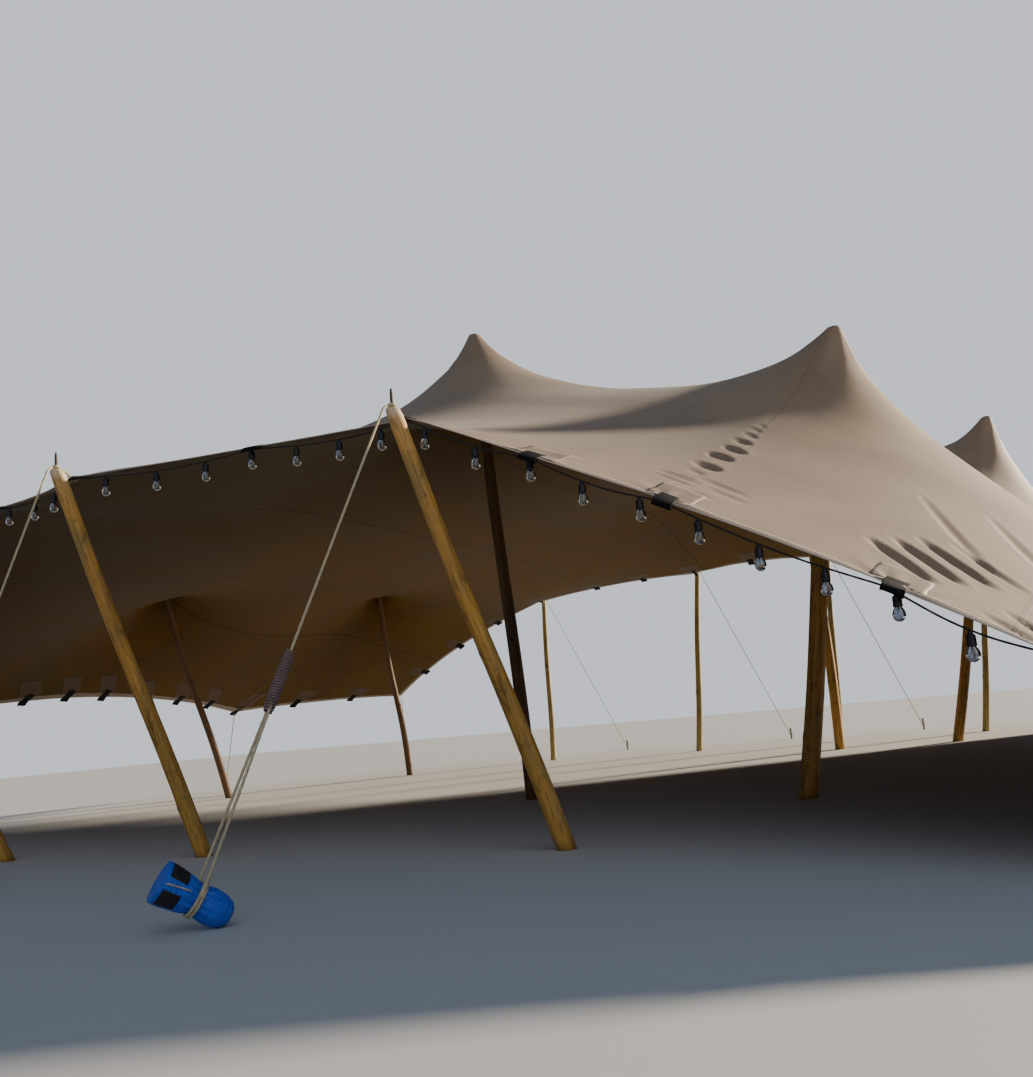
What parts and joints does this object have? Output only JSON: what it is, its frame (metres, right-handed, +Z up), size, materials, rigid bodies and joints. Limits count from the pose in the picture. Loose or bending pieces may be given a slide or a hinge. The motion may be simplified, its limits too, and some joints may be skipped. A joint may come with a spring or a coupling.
{
  "type": "stretch tent",
  "caption": "Elastic sheet tent over round timber poles, guyed at its edges, with a string of lamps along the front hem.",
  "frame": {"origin": "on the ground, at the middle of the plan box of the whole tent, pegs and stakes included", "axes": "+Z up, -Y towards the open front edge, +X towards the side pulled down to the ground"},
  "size_m": [13.402, 12.9028, 3.7103],
  "materials": {
    "stretch_fabric": "fine knit, matt",
    "round_timber": "debarked round timber, oiled",
    "rope": "twisted cord",
    "peg_steel": "weathered",
    "padded_cover": "coated padded cloth",
    "lamp_cable": "black, satin"
  },
  "bodies": {
    "root": {"canopy": "stretch_fabric", "front_anchor_1": "padded_cover", "front_anchor_2": "padded_cover", "front_anchor_3": "padded_cover", "front_anchor_4": "padded_cover", "front_guy_1": "rope", "front_guy_2": "rope", "front_guy_3": "rope", "front_guy_4": "rope", "front_pole_1": "round_timber", "front_pole_2": "round_timber", "front_pole_3": "round_timber", "front_pole_4": "round_timber", "king_pole_1": "round_timber", "king_pole_2": "round_timber", "king_pole_3": "round_timber", "king_pole_4": "round_timber", "left_tie_1_peg": "peg_steel", "left_tie_1_rope": "rope", "left_tie_2_peg": "peg_steel", "left_tie_2_rope": "rope", "left_tie_3_peg": "peg_steel", "left_tie_3_rope": "rope", "left_tie_4_peg": "peg_steel", "left_tie_4_rope": "rope", "lift_pole_1": "round_timber", "lift_pole_2": "round_timber", "rear_guy_1": "rope", "rear_guy_2": "rope", "rear_guy_3": "rope", "rear_guy_4": "rope", "rear_peg_1": "peg_steel", "rear_peg_2": "peg_steel", "rear_peg_3": "peg_steel", "rear_peg_4": "peg_steel", "rear_pole_1": "round_timber", "rear_pole_2": "round_timber", "rear_pole_3": "round_timber", "rear_pole_4": "round_timber", "right_tie_1_peg": "peg_steel", "right_tie_1_rope": "rope", "right_tie_2_peg": "peg_steel", "right_tie_2_rope": "rope", "right_tie_3_peg": "peg_steel", "right_tie_3_rope": "rope", "right_tie_4_peg": "peg_steel", "right_tie_4_rope": "rope", "string_lights": "lamp_cable"}
  },
  "joints": []
}
